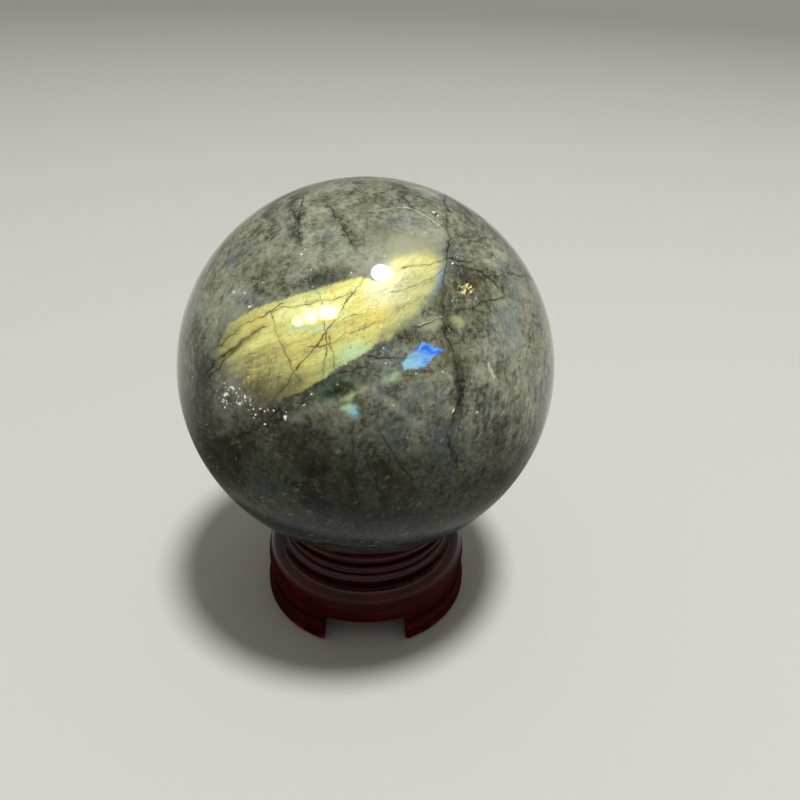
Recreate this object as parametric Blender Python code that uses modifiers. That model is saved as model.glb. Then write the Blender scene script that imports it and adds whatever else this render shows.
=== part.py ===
"""Decorative sphere: a polished labradorite ball resting on a turned wooden stand with three feet.

Metres, +Z up. The origin is on the surface that the feet stand on, on the axis of the stand, and the middle
of one opening between two feet faces -Y.
"""
import math

import bmesh
import bpy
from mathutils import Matrix

# Ball
BALL_RADIUS = 0.0350
BALL_SEGMENTS = 56
BALL_RINGS = 28

# Stand, from the floor upwards
FOOT_RADIUS = 0.0213
FOOT_HEIGHT = 0.0046
FOOT_ROUNDING = 0.0012
FOOT_INNER_RADIUS = 0.0140
FOOT_COUNT = 3
OPENING_WIDTH = 0.0160
OPENING_HEIGHT = 0.0064
OPENING_ROUNDING = 0.0018
UNDERSIDE_HEIGHT = 0.0072
FOOT_GROOVE_DEPTH = 0.0012
BELLY_INSET = 0.0004
BELLY_LOWER_HEIGHT = 0.0042
BELLY_UPPER_HEIGHT = 0.0052
BELLY_FULLNESS = 0.80
SHOULDER_RADIUS = 0.0175
NECK_RADIUS = 0.0165
NECK_GROOVE_HEIGHT = 0.0004
RING_RADIUS = 0.0173
RING_HEIGHT = 0.0013
RING_COUNT = 2
RING_GAP = 0.0009
COVE_HEIGHT = 0.0013
COVE_DEPTH = 0.0004
RIM_RADIUS = 0.0178
RIM_HEIGHT = 0.0020
RIM_ROUNDING = 0.0014
SEAT_RADIUS = 0.0150
SEAT_EDGE_DROP = 0.0003
SEAT_CLEARANCE = 0.0003
STAND_STEPS = 64

MERGE_DISTANCE = 0.00001
CUT_MARGIN = 0.0050

# Radii and heights that follow
FOOT_GROOVE_RADIUS = FOOT_RADIUS - FOOT_GROOVE_DEPTH
BELLY_RADIUS = FOOT_RADIUS - BELLY_INSET
BELLY_FLOOR = FOOT_HEIGHT
BELLY_WIDEST = BELLY_FLOOR + BELLY_LOWER_HEIGHT
SHOULDER_HEIGHT = BELLY_WIDEST + BELLY_UPPER_HEIGHT
FIRST_RING = SHOULDER_HEIGHT + NECK_GROOVE_HEIGHT
COVE_FLOOR = FIRST_RING + RING_COUNT * RING_HEIGHT + (RING_COUNT - 1) * RING_GAP
RIM_FLOOR = COVE_FLOOR + COVE_HEIGHT
RIM_TOP = RIM_FLOOR + RIM_HEIGHT
SEAT_EDGE = RIM_TOP - SEAT_EDGE_DROP
SEAT_SPHERE = BALL_RADIUS + SEAT_CLEARANCE
BALL_CENTRE = SEAT_EDGE + math.sqrt(SEAT_SPHERE ** 2 - SEAT_RADIUS ** 2)


def new_collection(name):
    """A collection of this name, emptied and linked to the scene."""
    old = bpy.data.collections.get(name)
    if old is not None:
        bpy.data.collections.remove(old)
    collection = bpy.data.collections.new(name)
    bpy.context.scene.collection.children.link(collection)
    return collection


def finish(name, colour, roughness, metallic):
    """A plain Principled material."""
    material = bpy.data.materials.new(name)
    material.use_nodes = True
    shader = material.node_tree.nodes["Principled BSDF"]
    shader.inputs["Base Color"].default_value = (*colour, 1.0)
    shader.inputs["Roughness"].default_value = roughness
    shader.inputs["Metallic"].default_value = metallic
    return material


def add_object(name, mesh, collection, material=None):
    """An object for this mesh in this collection."""
    item = bpy.data.objects.new(name, mesh)
    collection.objects.link(item)
    if material is not None:
        mesh.materials.append(material)
    return item


def arc(centre, radii, start, end, steps, fullness=1.0):
    """Points on part of an ellipse in the profile's plane, from one angle to another in degrees.

    A fullness under 1 makes the curve squarer, as on the belly.
    """
    points = []
    for step in range(steps + 1):
        angle = math.radians(start + (end - start) * step / steps)
        across = math.copysign(abs(math.cos(angle)) ** fullness, math.cos(angle))
        up = math.copysign(abs(math.sin(angle)) ** fullness, math.sin(angle))
        points.append((centre[0] + radii[0] * across, centre[1] + radii[1] * up))
    return points


def seat_points():
    """The dished seat, from the axis out to its edge, one clearance away from the ball."""
    edge_angle = math.degrees(math.asin(SEAT_RADIUS / SEAT_SPHERE))
    return arc((0.0, BALL_CENTRE), (SEAT_SPHERE, SEAT_SPHERE), -90.0, edge_angle - 90.0, 5)


def rim_points():
    """The rim's rounded outer edge, from its flat top down to the cove."""
    centre = (RIM_RADIUS - RIM_ROUNDING, RIM_TOP - RIM_HEIGHT / 2)
    return arc(centre, (RIM_ROUNDING, RIM_HEIGHT / 2), 90.0, -90.0, 8)


def cove_points():
    """The hollow between the rim and the upper ring."""
    middle = COVE_FLOOR + COVE_HEIGHT / 2
    curve = arc((NECK_RADIUS, middle), (-COVE_DEPTH, COVE_HEIGHT / 2), 90.0, -90.0, 4)
    return curve[1:-1]


def ring_points():
    """The thin rings round the waist, from the upper one down."""
    points = []
    depth = RING_RADIUS - NECK_RADIUS
    for index in reversed(range(RING_COUNT)):
        middle = FIRST_RING + index * (RING_HEIGHT + RING_GAP) + RING_HEIGHT / 2
        points += arc((NECK_RADIUS, middle), (depth, RING_HEIGHT / 2), 90.0, -90.0, 5)
    return points


def belly_points():
    """The round belly, from the top of its shoulder down to the groove over the foot."""
    upper_radii = (BELLY_RADIUS - SHOULDER_RADIUS, BELLY_UPPER_HEIGHT)
    lower_radii = (BELLY_RADIUS - FOOT_GROOVE_RADIUS, BELLY_LOWER_HEIGHT)
    upper = arc((SHOULDER_RADIUS, BELLY_WIDEST), upper_radii, 90.0, 0.0, 7, BELLY_FULLNESS)
    lower = arc((FOOT_GROOVE_RADIUS, BELLY_WIDEST), lower_radii, 0.0, -90.0, 5)
    return upper + lower[1:]


def foot_points():
    """The rounded foot ring, its flat underside and the hollow under the stand."""
    depth = FOOT_RADIUS - FOOT_GROOVE_RADIUS
    upper_half = FOOT_HEIGHT - FOOT_ROUNDING - depth
    bulge = arc((FOOT_GROOVE_RADIUS, FOOT_HEIGHT - upper_half), (depth, upper_half), 90.0, 0.0, 4)
    edge = arc((FOOT_RADIUS - FOOT_ROUNDING, FOOT_ROUNDING), (FOOT_ROUNDING, FOOT_ROUNDING), 0.0, -90.0, 3)
    return bulge[1:] + edge + [
        (FOOT_INNER_RADIUS, 0.0),
        (FOOT_INNER_RADIUS, UNDERSIDE_HEIGHT),
        (0.0, UNDERSIDE_HEIGHT),
    ]


def make_ball(collection):
    """The ball, resting in the seat."""
    mesh = bpy.data.meshes.new("labradorite_ball")
    shape = bmesh.new()
    bmesh.ops.create_uvsphere(shape, u_segments=BALL_SEGMENTS, v_segments=BALL_RINGS, radius=BALL_RADIUS)
    shape.to_mesh(mesh)
    shape.free()
    mesh.shade_smooth()
    stone = finish("polished labradorite", (0.10, 0.11, 0.085), 0.12, 0.0)
    ball = add_object("labradorite_ball", mesh, collection, stone)
    ball.location = (0.0, 0.0, BALL_CENTRE)
    return ball


def make_opening_cutter(index, collection):
    """A block with rounded edges that cuts one opening through the foot ring."""
    inner = FOOT_INNER_RADIUS - OPENING_ROUNDING - CUT_MARGIN
    outer = max(FOOT_RADIUS, BELLY_RADIUS) + CUT_MARGIN
    height = OPENING_HEIGHT + CUT_MARGIN
    mesh = bpy.data.meshes.new(f"opening_cutter_{index}")
    shape = bmesh.new()
    bmesh.ops.create_cube(shape, size=1.0)
    bmesh.ops.scale(shape, vec=(outer - inner, OPENING_WIDTH, height), verts=shape.verts)
    place = ((outer + inner) / 2, 0.0, OPENING_HEIGHT - height / 2)
    bmesh.ops.translate(shape, vec=place, verts=shape.verts)
    turn = math.radians(-90.0 + index * 360.0 / FOOT_COUNT)
    bmesh.ops.rotate(shape, cent=(0.0, 0.0, 0.0), matrix=Matrix.Rotation(turn, 3, "Z"), verts=shape.verts)
    shape.to_mesh(mesh)
    shape.free()
    cutter = add_object(f"opening_cutter_{index}", mesh, collection)
    rounding = cutter.modifiers.new("rounded edges", "BEVEL")
    rounding.width = OPENING_ROUNDING
    rounding.segments = 3
    cutter.hide_render = True
    cutter.display_type = "WIRE"
    return cutter


def make_stand(collection, cutters):
    """The stand, turned from one profile and opened between its feet."""
    profile = seat_points() + rim_points() + cove_points() + ring_points() + belly_points() + foot_points()
    mesh = bpy.data.meshes.new("wooden_stand")
    edges = [(index, index + 1) for index in range(len(profile) - 1)]
    mesh.from_pydata([(radius, 0.0, height) for radius, height in profile], edges, [])
    wood = finish("dark red lacquered wood", (0.045, 0.007, 0.006), 0.25, 0.0)
    stand = add_object("wooden_stand", mesh, collection, wood)
    turning = stand.modifiers.new("turning", "SCREW")
    turning.steps = STAND_STEPS
    turning.render_steps = STAND_STEPS
    turning.use_merge_vertices = True
    turning.merge_threshold = MERGE_DISTANCE
    turning.use_smooth_shade = True
    for index in range(FOOT_COUNT):
        cut = stand.modifiers.new(f"opening {index + 1}", "BOOLEAN")
        cut.operation = "DIFFERENCE"
        cut.solver = "EXACT"
        cut.object = make_opening_cutter(index, cutters)
    return stand


def main():
    """Builds the ball and its stand in an empty scene."""
    for item in list(bpy.data.objects):
        bpy.data.objects.remove(item, do_unlink=True)
    parts = new_collection("Decorative sphere")
    cutters = new_collection("Cutters")
    make_ball(parts)
    make_stand(parts, cutters)


main()
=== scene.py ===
"""Looks of the decorative sphere: a polished labradorite ball on a turned stand of dark red wood."""

import functools
import math

import bpy
from mathutils import Matrix, Vector


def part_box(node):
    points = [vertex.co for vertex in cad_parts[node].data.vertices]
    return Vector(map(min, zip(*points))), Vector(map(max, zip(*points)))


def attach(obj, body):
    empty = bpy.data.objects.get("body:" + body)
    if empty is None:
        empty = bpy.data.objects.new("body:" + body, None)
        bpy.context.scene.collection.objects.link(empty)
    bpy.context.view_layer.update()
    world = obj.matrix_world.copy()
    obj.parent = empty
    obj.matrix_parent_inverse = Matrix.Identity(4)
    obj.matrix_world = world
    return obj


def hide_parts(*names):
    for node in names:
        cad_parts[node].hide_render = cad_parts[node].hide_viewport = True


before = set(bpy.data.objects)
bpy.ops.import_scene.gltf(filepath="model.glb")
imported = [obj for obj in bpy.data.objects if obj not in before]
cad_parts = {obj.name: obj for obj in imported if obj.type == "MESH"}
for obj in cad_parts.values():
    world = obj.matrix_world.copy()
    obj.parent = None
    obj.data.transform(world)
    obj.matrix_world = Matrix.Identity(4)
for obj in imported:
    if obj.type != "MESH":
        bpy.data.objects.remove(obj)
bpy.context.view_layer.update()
scene = bpy.context.scene

# Sizes read from the frame, in metres
ball_low, ball_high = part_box("labradorite_ball")
BALL_CENTRE = (ball_low + ball_high) / 2
BALL_RADIUS = (ball_high.z - ball_low.z) / 2
_, stand_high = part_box("wooden_stand")
FOOT_RADIUS = stand_high.x
STAND_TOP = stand_high.z

# The camera, in metres, degrees and pixels of the 800 x 800 photograph, and its sensor in millimetres
PHOTO_MIDDLE = 400
FOCAL_PIXELS = 800
SENSOR_WIDTH = 36.0
NEAREST = 0.005
FURTHEST = 20.0
BALL_CENTRE_PIXEL = (367.3, 367.1)
CAMERA_DISTANCE = 0.15253
CAMERA_PITCH = 31.0
CAMERA_ROLL = 1.7
CAMERA_TURN = -2.3

# The lamp, by the middle of its reflection in the ball
LAMP_PIXEL = (381.5, 273.0)
LAMP_DISTANCE = 1.2
LAMP_WIDTH = 0.21
LAMP_POWER = 15.0
FILL_COLOUR = (1.0, 0.975, 0.93)
FILL_STRENGTH = 0.38

# The studio's floor and its round wall
FLOOR_COLOUR = (0.56, 0.545, 0.515)
FLOOR_ROUGHNESS = 0.9
FLOOR_GLOSS = 0.1
FLOOR_RADIUS = 1.3
COVE_RADIUS = 0.5
WALL_HEIGHT = 1.6
STUDIO_SIDES = 96
WALL_STEPS = 12
FLOOR_RINGS = (0.1, 0.3, 0.6)

# The middle value of every noise pattern
PATTERN_MIDDLE = 0.5

# A Mix node's sockets share their names, so they go by number: first, second and result
COLOUR_SOCKETS = (6, 7, 2)
VECTOR_SOCKETS = (4, 5, 1)


class Wire:
    """One output socket, so that a tree's maths reads as ordinary expressions."""

    def __init__(self, tree, socket):
        self.tree = tree
        self.socket = socket

    def other(self, name):
        """Another output of the same node."""
        return Wire(self.tree, self.socket.node.outputs[name])

    def math(self, operation, *values):
        return self.tree.node("ShaderNodeMath", {"operation": operation}, (self, *values))

    def __add__(self, value):
        return self.math("ADD", value)

    __radd__ = __add__

    def __sub__(self, value):
        return self.math("SUBTRACT", value)

    def __rsub__(self, value):
        return self.tree.node("ShaderNodeMath", {"operation": "SUBTRACT"}, (value, self))

    def __mul__(self, value):
        return self.math("MULTIPLY", value)

    __rmul__ = __mul__

    def __truediv__(self, value):
        return self.math("DIVIDE", value)

    def __rtruediv__(self, value):
        return self.tree.node("ShaderNodeMath", {"operation": "DIVIDE"}, (value, self))

    def __abs__(self):
        return self.math("ABSOLUTE")

    def larger(self, value):
        return self.math("MAXIMUM", value)

    def smaller(self, value):
        return self.math("MINIMUM", value)

    def centred(self):
        """This pattern's value, less the middle that it swings round."""
        return self - PATTERN_MIDDLE

    def ramp_up(self, low, high, start=0.0, end=1.0, shape="SMOOTHSTEP"):
        """Goes from start to end while this value goes from low to high, and stays there."""
        values = {"Value": self, "From Min": low, "From Max": high, "To Min": start, "To Max": end}
        return self.tree.node("ShaderNodeMapRange", {"interpolation_type": shape}, values)

    def dot(self, vector):
        return self.tree.node("ShaderNodeVectorMath", {"operation": "DOT_PRODUCT"}, (self, vector), "Value")

    def vector(self, operation, *values):
        return self.tree.node("ShaderNodeVectorMath", {"operation": operation}, (self, *values))

    def axis(self, name):
        """One coordinate of this vector."""
        return self.tree.node("ShaderNodeSeparateXYZ", {}, (self,), name)

    def channel(self, name):
        """One channel of this colour."""
        return self.tree.node("ShaderNodeSeparateColor", {}, (self,), name)

    def measured(self, sizes, turn=(0, 0, 0), middle=(0, 0, 0)):
        """This place measured from a middle, along turned axes, in a pattern's own sizes."""
        values = {"Vector": self, "Location": middle, "Rotation": turn, "Scale": sizes}
        return self.tree.node("ShaderNodeMapping", {"vector_type": "TEXTURE"}, values)

    def noise(self, scale, detail, roughness, distortion=0.0):
        """A cloudy value round 0.5 at this place."""
        values = {"Vector": self, "Scale": scale, "Detail": detail, "Roughness": roughness}
        return self.tree.node("ShaderNodeTexNoise", {}, {**values, "Distortion": distortion})

    def cells(self, scale, output="Distance"):
        """Grains at this place: the distance to the nearest one's middle, or its own random colour."""
        return self.tree.node("ShaderNodeTexVoronoi", {}, {"Vector": self, "Scale": scale}, output)


def set_stops(edges, stops):
    """Gives a colour ramp its stops of (value, colour)."""
    while len(edges) < len(stops):
        edges.new(1.0)
    for edge, (place, colour) in zip(edges, stops):
        edge.position = place
        edge.color = (*colour, 1.0)


class Tree:
    """A node tree and the one way to add a node to it."""

    def __init__(self, node_tree):
        self.nodes = node_tree.nodes
        self.links = node_tree.links

    def node(self, kind, settings, values, output=0):
        """Adds a node, sets it up, then sets or links its inputs, given by name or in order."""
        item = self.nodes.new(kind)
        for name, value in settings.items():
            if name == "stops":
                set_stops(item.color_ramp.elements, value)
            else:
                setattr(item, name, value)
        self.feed(item, values)
        return Wire(self, item.outputs[output]) if item.outputs else None

    def feed(self, item, values):
        pairs = values.items() if isinstance(values, dict) else enumerate(values)
        for key, value in pairs:
            if isinstance(value, Wire):
                self.links.new(value.socket, item.inputs[key])
            else:
                item.inputs[key].default_value = value

    def blend(self, factor, first, second, how="MIX"):
        """Two colours, mixed. A colour given as three numbers is made opaque."""
        first, second = (shade if isinstance(shade, Wire) else (*shade, 1.0) for shade in (first, second))
        settings = {"data_type": "RGBA", "blend_type": how}
        one, two, result = COLOUR_SOCKETS
        return self.node("ShaderNodeMix", settings, {0: factor, one: first, two: second}, result)

    def colours(self, value, stops):
        """A colour that follows a value through stops of (value, colour)."""
        return self.node("ShaderNodeValToRGB", {"stops": stops}, {"Fac": value}, "Color")


def new_finish(name):
    """A material with a Principled shader: the material, its tree and the shader."""
    material = bpy.data.materials.new(name)
    material.use_nodes = True
    return material, Tree(material.node_tree), material.node_tree.nodes["Principled BSDF"]


# Camera

def camera_axes():
    """The camera's right, down and ahead directions."""
    pitch, roll = math.radians(CAMERA_PITCH), math.radians(CAMERA_ROLL)
    turn = Matrix.Rotation(math.radians(CAMERA_TURN), 3, "Z")
    level = Vector((1, 0, 0))
    lower = Vector((0, -math.sin(pitch), -math.cos(pitch)))
    right = turn @ (level * math.cos(roll) - lower * math.sin(roll))
    down = turn @ (lower * math.cos(roll) + level * math.sin(roll))
    ahead = turn @ Vector((0, math.cos(pitch), -math.sin(pitch)))
    return right, down, ahead


def pixel_ray(pixel):
    """The direction from the camera through one pixel of the photograph."""
    across, lower = pixel[0] - PHOTO_MIDDLE, pixel[1] - PHOTO_MIDDLE
    return (camera_right * across + camera_down * lower + camera_ahead * FOCAL_PIXELS).normalized()


def ball_point(pixel):
    """The point of the ball's surface that the photograph shows at a pixel."""
    ray = pixel_ray(pixel)
    to_centre = BALL_CENTRE - camera_place
    along = ray.dot(to_centre)
    half_chord = math.sqrt(BALL_RADIUS ** 2 - to_centre.length_squared + along ** 2)
    return camera_place + ray * (along - half_chord)


def make_camera():
    data = bpy.data.cameras.new("photo_camera")
    data.sensor_width = SENSOR_WIDTH
    data.lens = data.sensor_width * FOCAL_PIXELS / (2 * PHOTO_MIDDLE)
    data.clip_start = NEAREST
    data.clip_end = FURTHEST
    camera = bpy.data.objects.new("photo_camera", data)
    scene.collection.objects.link(camera)
    axes = Matrix((camera_right, -camera_down, -camera_ahead)).transposed().to_4x4()
    camera.matrix_world = Matrix.Translation(camera_place) @ axes
    scene.camera = camera


camera_right, camera_down, camera_ahead = camera_axes()
camera_place = BALL_CENTRE - pixel_ray(BALL_CENTRE_PIXEL) * CAMERA_DISTANCE
make_camera()

# Labradorite: the stone's own shades, and painted shade for its lower front and bottom
STONE_DARK = (0.014, 0.016, 0.011)
STONE_OLIVE = (0.078, 0.080, 0.050)
STONE_GREY = (0.185, 0.195, 0.135)
STONE_PALE = (0.36, 0.38, 0.265)
STONE_BLUE = (0.10, 0.14, 0.20)
STONE_BROWN = (0.115, 0.098, 0.050)
# Painted shade and painted dark reflection: the even dark teal of the ball's bottom
PAINTED_BOTTOM_SHADE = (0.016, 0.022, 0.021)
STONE_INK = (0.050, 0.078, 0.085)
STONE_TEAL = (0.34, 0.52, 0.46)
# Painted shade, multiplied over the lower front of the ball
PAINTED_LOWER_SHADE = (0.16, 0.17, 0.17)
CRACK_DARK = (0.012, 0.014, 0.008)
CRACK_GOLD = (0.080, 0.062, 0.012)
THREAD_PALE = (0.56, 0.57, 0.47)
# White of the painted glints
PAINTED_GLINT_WHITE = (0.95, 0.90, 0.88)

# Its flashes: the schiller, a sheen of coloured light from the stone's layers, painted into its colour
FLASH_OLIVE = (0.21, 0.20, 0.085)
FLASH_GOLD = (0.56, 0.54, 0.20)
FLASH_AMBER = (0.80, 0.64, 0.155)
FLASH_YELLOW = (0.80, 0.77, 0.22)
FLASH_LEMON = (0.95, 0.97, 0.38)
FLASH_PALE = (0.98, 0.98, 0.72)
FLASH_STRAW = (0.43, 0.46, 0.23)
FLASH_MOSS = (0.34, 0.40, 0.15)
FLASH_GREEN = (0.52, 0.72, 0.30)
FLASH_MINT = (0.60, 0.86, 0.50)
FLASH_CYAN = (0.26, 0.66, 0.54)
FLASH_TEAL = (0.060, 0.15, 0.12)
FLASH_BLUE = (0.036, 0.15, 0.88)
FLASH_ICE = (0.36, 0.70, 0.82)
FLASH_SKY = (0.17, 0.46, 0.90)
FLASH_BLUSH = (0.68, 0.66, 0.48)
FLASH_PEACH = (0.46, 0.47, 0.29)
# A painted halo of light round the lamp's reflection
PAINTED_HALO_GREY = (0.40, 0.41, 0.28)
# A painted glow round the lamp's reflection
PAINTED_LAMP_GLOW = (0.50, 0.45, 0.37)
FLASH_PYRITE = (0.82, 0.70, 0.30)

# Outlines of the flashes, in pixels of the photograph, clockwise
GOLD_BAND = (
    (213, 374), (217, 346), (229, 324), (249, 313), (281, 300), (318, 287), (362, 276), (400, 288),
    (390, 325), (378, 340), (370, 364), (336, 378), (304, 390), (262, 418), (230, 428), (214, 408),
)
GOLD_HEAD = (
    (366, 300), (380, 270), (396, 257), (418, 252), (434, 253), (445, 262), (441, 280), (432, 298),
    (418, 314), (390, 330), (366, 336),
)
BLUE_PATCH = (
    (401, 358), (413, 350), (422, 341), (431, 346), (441, 351),
    (438, 361), (426, 364), (417, 372), (406, 375),
)

# The direction in which the gold flash fades away, down and a little left
FADING_DIRECTION = (-0.45, 0.89, 0.0)

# Other colours within the gold flash, in pixels: middle, half length, half width, tilt, shade, share
GOLD_PATCHES = (
    ((406, 286), 56, 48, 20, FLASH_PEACH, 0.55),
    ((382, 292), 40, 24, 10, FLASH_BLUSH, 0.75),
    ((441, 280), 11, 40, -16, FLASH_SKY, 0.85),
    ((430, 302), 8, 18, -38, FLASH_CYAN, 0.70),
    ((368, 318), 40, 14, 22, FLASH_AMBER, 0.85),
    ((300, 348), 46, 14, 22, FLASH_AMBER, 0.40),
    ((300, 327), 28, 5, 4, FLASH_CYAN, 0.60),
    ((322, 329), 22, 6, 16, FLASH_MINT, 0.80),
    ((350, 358), 50, 26, 22, FLASH_GREEN, 1.00),
    ((356, 352), 24, 15, 10, FLASH_MINT, 0.95),
    ((338, 374), 34, 7, 24, FLASH_TEAL, 0.60),
    ((252, 346), 30, 7, 28, FLASH_LEMON, 0.45),
    ((294, 386), 34, 18, 48, STONE_BROWN, 0.75),
    ((230, 334), 30, 12, 42, FLASH_MOSS, 0.80),
    ((240, 346), 44, 7, 40, STONE_BROWN, 0.75),
    ((222, 368), 14, 18, 20, STONE_BROWN, 0.60),
)

# Small patches of colour, in pixels: middle, half length, half width, tilt, shade, share
SMALL_PATCHES = (
    ((324, 281), 28, 13, 20, STONE_INK, 0.65),
    # Painted light: a glow round the lamp's reflection
    ((381, 268), 34, 24, 0, PAINTED_LAMP_GLOW, 0.55),
    ((355, 412), 10, 13, 0, FLASH_ICE, 0.85),
    ((348, 407), 11, 8, 20, FLASH_MINT, 0.70),
    ((351, 396), 14, 6, 20, FLASH_GREEN, 0.75),
    ((393, 378), 15, 6, 10, FLASH_MINT, 0.55),
    ((431, 323), 22, 9, 14, FLASH_STRAW, 0.85),
    ((459, 321), 12, 13, 0, FLASH_STRAW, 0.80),
    ((386, 336), 22, 7, 30, FLASH_GOLD, 0.85),
    ((327, 235), 12, 8, 30, STONE_BLUE, 0.50),
    ((232, 262), 9, 9, 0, STONE_BLUE, 0.50),
    ((466, 289), 13, 13, 0, CRACK_DARK, 0.60),
    ((403, 221), 40, 9, 4, STONE_BLUE, 0.32),
    ((500, 366), 9, 9, 0, CRACK_DARK, 0.55),
    ((436, 213), 3, 3, 0, CRACK_DARK, 0.90),
    ((481, 372), 9, 12, 0, STONE_PALE, 0.45),
)

# Lighter and darker places of the stone, in pixels: middle, half length, half width, tilt, change of tone.
# The dark one at the left edge is a painted dark reflection, and the dark ones low on the ball are painted
# shade.
SHADES = (
    ((318, 279), 54, 12, 20, -0.34),
    ((299, 226), 14, 46, 0, -0.20),
    ((346, 230), 40, 10, -60, -0.26),
    # Painted dark reflection at the left edge
    ((202, 380), 20, 60, 0, -0.34),
    ((459, 388), 12, 48, 0, -0.34),
    ((470, 282), 36, 20, -10, -0.26),
    ((398, 340), 40, 15, 10, -0.26),
    ((336, 390), 44, 10, 20, -0.22),
    ((222, 300), 40, 44, 20, 0.30),
    ((268, 262), 50, 36, 20, 0.10),
    ((512, 345), 46, 84, 0, 0.20),
    ((486, 256), 40, 22, 15, 0.22),
    ((316, 407), 34, 12, 22, 0.42),
    ((482, 374), 20, 18, 0, 0.34),
    ((396, 408), 38, 8, -36, 0.42),
    # Painted shade low on the ball
    ((300, 440), 60, 22, 10, -0.10),
    ((214, 460), 60, 40, 0, -0.35),
)

# Cracks, in pixels: start, a point near the middle, end, half width
CRACKS = (
    ((443, 178), (448, 236), (449, 264), 1.0),
    ((449, 262), (441, 304), (456, 357), 1.1),
    ((456, 357), (459, 395), (450, 428), 1.3),
    ((450, 428), (452, 445), (459, 470), 0.8),
    ((200, 381), (230, 349), (269, 325), 2.1),
    ((217, 349), (254, 319), (288, 303), 1.3),
    ((269, 311), (315, 303), (352, 294), 0.7),
    ((274, 309), (281, 345), (302, 380), 0.9),
    ((315, 295), (326, 343), (322, 378), 0.8),
    ((361, 278), (318, 341), (272, 402), 0.9),
    ((328, 333), (333, 354), (335, 371), 0.7),
    ((305, 347), (340, 338), (379, 323), 0.6),
    ((327, 326), (343, 320), (359, 316), 0.5),
    ((196, 438), (250, 432), (288, 402), 2.0),
    ((286, 403), (312, 384), (370, 366), 1.7),
    ((198, 388), (220, 365), (243, 340), 0.9),
    ((400, 269), (434, 262), (470, 260), 0.7),
    ((450, 263), (470, 267), (492, 279), 0.8),
    ((492, 276), (510, 274), (532, 279), 0.7),
    ((388, 291), (418, 284), (443, 269), 0.6),
    ((416, 328), (459, 311), (507, 298), 0.9),
    ((470, 240), (483, 238), (497, 238), 0.5),
    ((368, 355), (390, 357), (408, 356), 0.7),
    ((304, 196), (301, 218), (300, 240), 0.9),
    ((328, 203), (341, 228), (353, 248), 0.9),
    ((352, 430), (354, 470), (359, 512), 0.8),
    ((380, 428), (395, 455), (411, 482), 0.8),
    ((367, 460), (376, 486), (386, 512), 0.7),
)

# Painted glints of light that stand out, in pixels: middle, half width
PAINTED_GLINTS = (
    ((284, 419), 3.0), ((264, 425), 2.4), ((261, 408), 2.2), ((256, 416), 2.4), ((247, 377), 2.0),
    ((305, 405), 2.2), ((310, 395), 1.8), ((234, 293), 2.2), ((245, 294), 2.0), ((250, 306), 2.2),
    ((301, 254), 2.0), ((452, 264), 2.6), ((477, 412), 2.2), ((453, 410), 2.2), ((226, 394), 3.4),
    ((223, 400), 2.6), ((232, 388), 2.6), ((240, 404), 2.2), ((434, 211), 1.8), ((438, 215), 1.6),
    ((352, 273), 1.8), ((244, 399), 2.0),
)

# Pale scratch-like threads, in pixels: start, a point near the middle, end, half width
PALE_THREADS = (
    ((376, 213), (410, 208), (443, 230), 0.5),
    ((489, 360), (491, 368), (494, 377), 2.4),
    ((418, 326), (432, 321), (444, 317), 0.6),
)

# Painted highlights: the hottest parts of the gold flash, which all but burn out, in pixels: middle, half
# length, half width, tilt, heat
PAINTED_HIGHLIGHTS = (
    ((313, 313), 46, 20, 10, 0.66),
    ((298, 320), 16, 15, 0, 0.90),
    ((310, 316), 17, 18, 0, 1.0),
    ((327, 312), 25, 15, 10, 1.15),
)

# Other ovals, in pixels: middle, half length, half width and, where they have them, tilt and core
RIGHT_SIDE = ((520, 410), 130, 180)
FLASH_TIP = ((412, 284), 50, 48)
FLASH_FOOT = ((246, 396), 90, 60, 30)
FLASH_FAN = ((366, 322), 46, 24, 20)
FLASH_BRIGHT = ((306, 308), 100, 34, 22)
# The oval of the painted halo round the lamp's reflection
PAINTED_HALO_OVAL = ((406, 250), 66, 36, 8)
GREEN_BELOW = ((332, 388), 52, 18, 22, 0.3)
ICE_CORNER = ((406, 364), 30, 22, 0, 0.2)
CYAN_CORNER = ((405, 372), 16, 10)
GOLD_FLECK = ((466, 289), 11, 9, 30)
GLINT_CLUSTER = ((231, 396), 26, 22, 0)
GLINT_TAIL = ((254, 408), 44, 17, -30)

# Rows and columns of the photograph between which a shade sets in
CROWN_ROWS = (290.0, 190.0)
LOWER_ROWS = (335.0, 440.0)
BOTTOM_ROWS = (465.0, 550.0)
THIN_GLINT_ROWS = (400.0, 470.0)
FLASH_LEFT_COLUMNS = (208.0, 250.0)
FADING_STEPS = (211.0, 252.0)
LOWER_SLANT = 0.10

# How far a place faces out towards the camera, where the front's features set in
FRONT_EDGE = (0.10, 0.22)

# Noise patterns, on a ball of radius 1: scale, detail, roughness and, for one, distortion
CLOUDS = (2.4, 3.0, 0.55)
MOTTLE = (9.0, 9.0, 0.74)
SPECKLE = (46.0, 4.0, 0.75)
TINT = (2.7, 4.0, 0.6)
STEP_PLACES = (3.6, 2.0, 0.55)
VEIN_PLACES = (5.0, 2.0, 0.55)
DARK_VEINS = (2.6, 3.0, 0.55)
PALE_VEINS = (4.2, 5.0, 0.60)
HIDDEN_FIELD = (1.15, 2.0, 0.45, 0.3)
HIDDEN_SHADE = (1.6, 2.0, 0.55)
DRIFT = (3.0, 3.0, 0.55)
SHAKE = (17.0, 3.0, 0.6)
CRACK_WANDER = (8.0, 3.0, 0.6)
CRACK_THICKNESS = (13.0, 3.0, 0.6)
CRACK_FADING = (6.0, 2.0, 0.55)

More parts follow.
